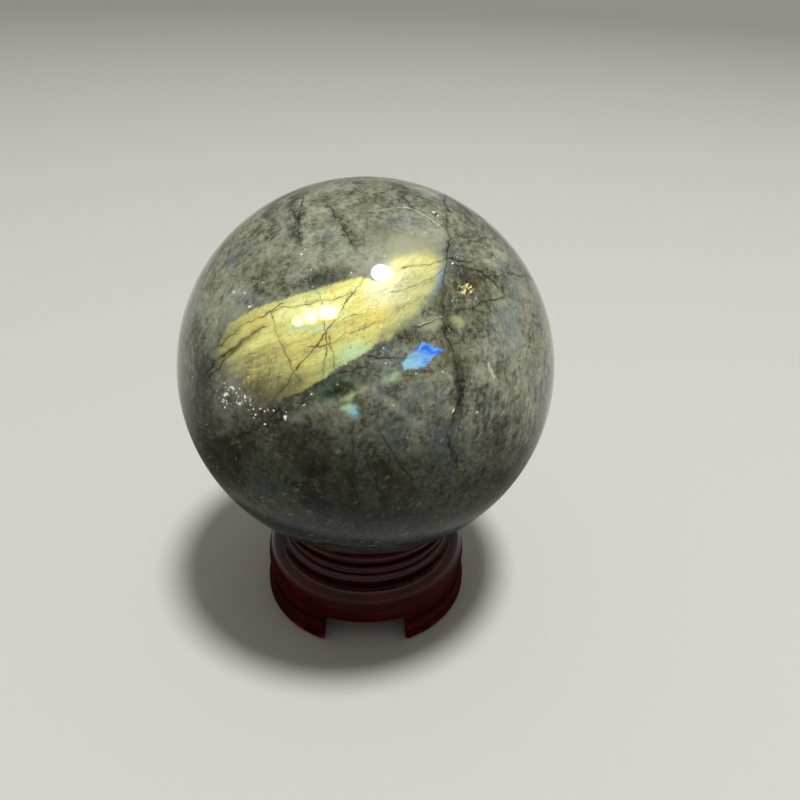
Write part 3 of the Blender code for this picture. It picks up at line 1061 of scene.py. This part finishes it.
def stand_profile():
    """The rows of the stand from the middle of its seat to the middle of its underside.

    Each row is a point of a foot's section and the same row's point in an opening's section.
    """
    seat_sphere = BALL_RADIUS + SEAT_CLEARANCE
    seat_angle = math.degrees(math.asin(SEAT_RADIUS / seat_sphere))
    upper = arc((0.0, BALL_CENTRE.z), (seat_sphere,) * 2, -90.0, seat_angle - 90.0, SEAT_STEPS)
    rim_half = (STAND_TOP - COVE_TOP) / 2
    rim_middle = (RIM_RADIUS - RIM_ROUNDING, STAND_TOP - rim_half)
    upper += arc(rim_middle, (RIM_ROUNDING, rim_half), 90.0, -90.0, RIM_STEPS)
    cove_half = (COVE_TOP - COVE_FLOOR) / 2
    cove_middle = (NECK_RADIUS, COVE_FLOOR + cove_half)
    upper += arc(cove_middle, (-COVE_DEPTH, cove_half), 90.0, -90.0, COVE_STEPS)[1:-1]
    for floor in RING_FLOORS:
        ring = (RING_RADIUS - NECK_RADIUS, RING_HEIGHT / 2)
        upper += arc((NECK_RADIUS, floor + RING_HEIGHT / 2), ring, 90.0, -90.0, RING_STEPS)
    shoulder = (BELLY_RADIUS - SHOULDER_RADIUS, BELLY_TOP - BELLY_WIDEST)
    upper += arc((SHOULDER_RADIUS, BELLY_WIDEST), shoulder, 90.0, 0.0, SHOULDER_STEPS, BELLY_FULLNESS)

    under = (BELLY_RADIUS - FOOT_GROOVE_RADIUS, BELLY_WIDEST - FOOT_HEIGHT)
    belly = arc((FOOT_GROOVE_RADIUS, BELLY_WIDEST), under, 0.0, -90.0, BELLY_STEPS)[1:]
    lintel_top = OPENING_HEIGHT + EDGE_SOFTNESS
    upper += [point for point in belly if point[1] > lintel_top]
    foot = [point for point in belly if point[1] <= lintel_top]
    bulge = FOOT_RADIUS - FOOT_GROOVE_RADIUS
    crest = FOOT_ROUNDING + bulge
    foot += arc((FOOT_GROOVE_RADIUS, crest), (bulge, FOOT_HEIGHT - crest), 90.0, 0.0, FOOT_STEPS)[1:]
    sole_middle = (FOOT_RADIUS - FOOT_ROUNDING, FOOT_ROUNDING)
    foot += arc(sole_middle, (FOOT_ROUNDING,) * 2, 0.0, -90.0, SOLE_STEPS)
    edge = (EDGE_SOFTNESS,) * 2
    inner_edge = (FOOT_INNER_RADIUS + EDGE_SOFTNESS, EDGE_SOFTNESS)
    foot += spread(((FOOT_RADIUS - FOOT_ROUNDING, 0.0), (inner_edge[0], 0.0)), FLAT_POINTS)[1:-1]
    foot += arc(inner_edge, edge, -90.0, -180.0, EDGE_STEPS)
    wall = ((FOOT_INNER_RADIUS, EDGE_SOFTNESS), (FOOT_INNER_RADIUS, lintel_top))
    foot += spread(wall, FLAT_POINTS)[1:]

    lintel = arc((foot[0][0] - EDGE_SOFTNESS, lintel_top), edge, 0.0, -90.0, LINTEL_STEPS)
    lintel += arc((inner_edge[0], lintel_top), edge, -90.0, -180.0, LINTEL_STEPS)
    opening = spread(lintel, len(foot))

    hollow = spread(((FOOT_INNER_RADIUS, UNDERSIDE_HEIGHT), (0.0, UNDERSIDE_HEIGHT)), FLAT_POINTS)
    return upper + foot + hollow, upper + opening + hollow


def new_rule(name, sizes):
    """A Geometry Nodes tree with an input for each named size: the group, tree, mesh and sizes."""
    group = bpy.data.node_groups.new(name, "GeometryNodeTree")
    group.interface.new_socket("Geometry", in_out="OUTPUT", socket_type="NodeSocketGeometry")
    group.interface.new_socket("Geometry", in_out="INPUT", socket_type="NodeSocketGeometry")
    for label, value in sizes.items():
        kind = "NodeSocketInt" if isinstance(value, int) else "NodeSocketFloat"
        group.interface.new_socket(label, in_out="INPUT", socket_type=kind)
    tree = Tree(group)
    mesh = tree.node("NodeGroupInput", {}, (), "Geometry")
    return group, tree, mesh, {label: mesh.other(label) for label in sizes}


def finish_rule(tree, mesh, material):
    """Ends a tree: shaded smooth, instances made real, with its material."""
    smooth = tree.node("GeometryNodeSetShadeSmooth", {}, {"Geometry": mesh})
    real = tree.node("GeometryNodeRealizeInstances", {}, {"Geometry": smooth})
    painted = tree.node("GeometryNodeSetMaterial", {}, {"Geometry": real, "Material": material})
    tree.node("NodeGroupOutput", {}, {"Geometry": painted})


def grow(name, start, group, sizes, material):
    """The plain mesh piece that a Geometry Nodes tree makes from a starting mesh."""
    piece = bpy.data.objects.new(name, start)
    scene.collection.objects.link(piece)
    modifier = piece.modifiers.new("rule", "NODES")
    modifier.node_group = group
    for socket in group.interface.items_tree:
        if socket.name in sizes:
            modifier[socket.identifier] = sizes[socket.name]
    evaluated = piece.evaluated_get(bpy.context.evaluated_depsgraph_get())
    made = bpy.data.meshes.new_from_object(evaluated)
    piece.modifiers.remove(modifier)
    piece.data = made
    made.materials.clear()
    made.materials.append(material)
    return piece


# Sizes of the turned stand's tree. A sector runs from the middle of one foot to the middle of the next.
STAND_SIZES = {
    "Columns in a sector": 76,
    "Feet": FOOT_COUNT,
    "Half width of an opening": OPENING_WIDTH / 2,
    "Rounding of an opening": OPENING_ROUNDING,
    "Inner radius": FOOT_INNER_RADIUS,
    "Share of an opening": 0.26,
    "Share with its walls": 0.56,
    "First turn": math.radians(-150.0),
}
MERGE_DISTANCE = 0.000001


def stand_rule(rows, material):
    """Turns a section round the axis, and changes it to the opening's section between the feet."""
    group, tree, section, size = new_rule("turned stand", STAND_SIZES)
    columns, feet = size["Columns in a sector"], size["Feet"]
    grid_values = {"Vertices X": columns * feet + 1, "Vertices Y": rows}
    grid = tree.node("GeometryNodeMeshGrid", {}, grid_values, "Mesh")
    index = tree.node("GeometryNodeInputIndex", {}, ())
    row = index.math("FLOORED_MODULO", rows)
    turns = (index - row) / rows / columns
    sector = turns.math("FLOOR")
    side = turns - sector - 0.5
    aside = abs(side) * 2

    def sampled(field):
        """A field of the section's point in this row."""
        settings = {"data_type": "FLOAT_VECTOR"}
        values = {"Geometry": section, "Value": field, "Index": row}
        return tree.node("GeometryNodeSampleIndex", settings, values)

    foot_point = sampled(tree.node("GeometryNodeInputPosition", {}, ()))
    named = tree.node("GeometryNodeInputNamedAttribute", {"data_type": "FLOAT_VECTOR"}, {"Name": "opening"})
    opening_point = sampled(named)
    opening, walls = size["Share of an opening"], size["Share with its walls"]
    one, two, result = VECTOR_SOCKETS
    values = {0: aside.ramp_up(opening, walls), one: opening_point, two: foot_point}
    point = tree.node("ShaderNodeMix", {"data_type": "VECTOR"}, values, result)
    radius = point.axis("X")
    reach = radius.larger(size["Inner radius"])
    rounding = size["Rounding of an opening"]
    across = aside.ramp_up(opening, walls, -1.0, 1.0, "LINEAR")
    bend = across * across * across + 1
    half_width = size["Half width of an opening"] - rounding
    lateral = aside.ramp_up(0.0, opening, shape="LINEAR") * half_width
    wall_angle = ((lateral + bend * rounding) / reach).math("ARCSINE")
    half_sector = math.pi / feet
    beyond = aside.ramp_up(walls, 1.0, shape="LINEAR")
    angle = wall_angle + (half_sector - wall_angle) * beyond
    turn = (sector + 0.5) * half_sector * 2 + size["First turn"] + side.math("SIGN") * angle
    parts = (radius * turn.math("COSINE"), radius * turn.math("SINE"), point.axis("Z"))
    place = tree.node("ShaderNodeCombineXYZ", {}, parts)
    turned = tree.node("GeometryNodeSetPosition", {}, {"Geometry": grid, "Position": place})
    closed = tree.node("GeometryNodeMergeByDistance", {}, {"Geometry": turned, "Distance": MERGE_DISTANCE})
    finish_rule(tree, closed, material)
    return group


def make_stand(material):
    """The stand with its turned mouldings and three feet."""
    foot_section, opening_section = stand_profile()
    section = bpy.data.meshes.new("stand_section")
    section.from_pydata([(x, 0.0, z) for x, z in foot_section], [], [])
    opening = section.attributes.new("opening", "FLOAT_VECTOR", "POINT")
    for item, (x, z) in zip(opening.data, opening_section):
        item.vector = (x, 0.0, z)
    group = stand_rule(len(foot_section), material)
    stand = grow("turned_stand", section, group, STAND_SIZES, material)
    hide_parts("wooden_stand")
    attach(stand, "root")


# Sizes of the ball's tree, in metres. Hand polishing leaves a slight wave and lowers the softer grains.
BALL_SIZES = {
    "Radius": BALL_RADIUS,
    "Height of the middle": BALL_CENTRE.z,
    "Fineness": 7,
    "Wave length": 0.016,
    "Wave depth": 0.000016,
    "Grain length": 0.0045,
    "Grain depth": 0.000007,
    "Pit spacing": 0.0052,
    "Pit depth": 0.00003,
}

# Detail and roughness of its wave and its grain, and the random number above which a cell has a pit
WAVE_NOISE = (2.0, 0.4)
GRAIN_NOISE = (1.0, 0.4)
PIT_CHOICE = 0.93


def ball_rule(material):
    """A round ball whose points are sunk a little by the polish, softer grains and scattered pits."""
    group, tree, _, size = new_rule("polished ball", BALL_SIZES)
    values = {"Radius": size["Radius"], "Subdivisions": size["Fineness"]}
    blank = tree.node("GeometryNodeMeshIcoSphere", {}, values, "Mesh")
    here = tree.node("GeometryNodeInputPosition", {}, ())
    outward = here.vector("NORMALIZE")
    wave = here.noise(1 / size["Wave length"], *WAVE_NOISE).ramp_up(0.30, 0.70)
    grain = here.noise(1 / size["Grain length"], *GRAIN_NOISE).ramp_up(0.45, 0.70)
    pits = here.cells(1 / size["Pit spacing"])
    chosen = pits.other("Color").axis("Z").math("GREATER_THAN", PIT_CHOICE)
    pitted = pits.ramp_up(0.28, 0.0) * chosen
    sunk = wave * size["Wave depth"] + grain * size["Grain depth"] + pitted * size["Pit depth"]
    raised = tree.node("ShaderNodeCombineXYZ", {}, (0.0, 0.0, size["Height of the middle"]))
    settings = {"operation": "SCALE"}
    sinking = tree.node("ShaderNodeVectorMath", settings, {"Vector": outward, "Scale": sunk * -1})
    offset = sinking.vector("ADD", raised)
    polished = tree.node("GeometryNodeSetPosition", {}, {"Geometry": blank, "Offset": offset})
    finish_rule(tree, polished, material)
    return group


def make_ball(material):
    """The ball, round to a few hundredths of a millimetre."""
    start = bpy.data.meshes.new("ball_start")
    ball = grow("polished_ball", start, ball_rule(material), BALL_SIZES, material)
    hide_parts("labradorite_ball")
    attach(ball, "root")


# Studio

def make_studio():
    """A pale floor that curves up into a round wall."""
    section = [(0.0, 0.0)] + [(FLOOR_RADIUS * share, 0.0) for share in FLOOR_RINGS]
    section += arc((FLOOR_RADIUS, COVE_RADIUS), (COVE_RADIUS,) * 2, -90.0, 0.0, WALL_STEPS)
    section.append((FLOOR_RADIUS + COVE_RADIUS, WALL_HEIGHT))
    verts = []
    for radius, height in section:
        for side in range(STUDIO_SIDES):
            turn = math.tau * side / STUDIO_SIDES
            verts.append((radius * math.cos(turn), radius * math.sin(turn), height))
    faces = []
    for ring in range(len(section) - 1):
        for side in range(STUDIO_SIDES):
            first, second = (ring * STUDIO_SIDES + corner % STUDIO_SIDES for corner in (side, side + 1))
            faces.append((first, first + STUDIO_SIDES, second + STUDIO_SIDES, second))
    mesh = bpy.data.meshes.new("studio")
    mesh.from_pydata(verts, [], faces)
    mesh.shade_smooth()
    studio = bpy.data.objects.new("studio", mesh)
    scene.collection.objects.link(studio)
    material, tree, shader = new_finish("pale studio paper")
    tree.feed(shader, {
        "Base Color": (*FLOOR_COLOUR, 1.0),
        "Roughness": FLOOR_ROUGHNESS,
        "Specular IOR Level": FLOOR_GLOSS,
    })
    mesh.materials.append(material)


def make_lights():
    """A round lamp overhead, where the ball reflects it, and an even soft light all round."""
    point = ball_point(LAMP_PIXEL)
    away = pixel_ray(LAMP_PIXEL).reflect((point - BALL_CENTRE).normalized())
    data = bpy.data.lights.new("round_lamp", "AREA")
    data.shape = "DISK"
    data.size = LAMP_WIDTH
    data.energy = LAMP_POWER
    lamp = bpy.data.objects.new("round_lamp", data)
    lamp.location = point + away * LAMP_DISTANCE
    lamp.rotation_mode = "QUATERNION"
    lamp.rotation_quaternion = away.to_track_quat("Z", "Y")
    scene.collection.objects.link(lamp)
    world = bpy.data.worlds.new("soft_light")
    world.use_nodes = True
    background = world.node_tree.nodes["Background"]
    background.inputs["Color"].default_value = (*FILL_COLOUR, 1.0)
    background.inputs["Strength"].default_value = FILL_STRENGTH
    scene.world = world
    scene.view_settings.view_transform = "Standard"


make_ball(make_labradorite())
make_stand(make_wood())
make_studio()
make_lights()
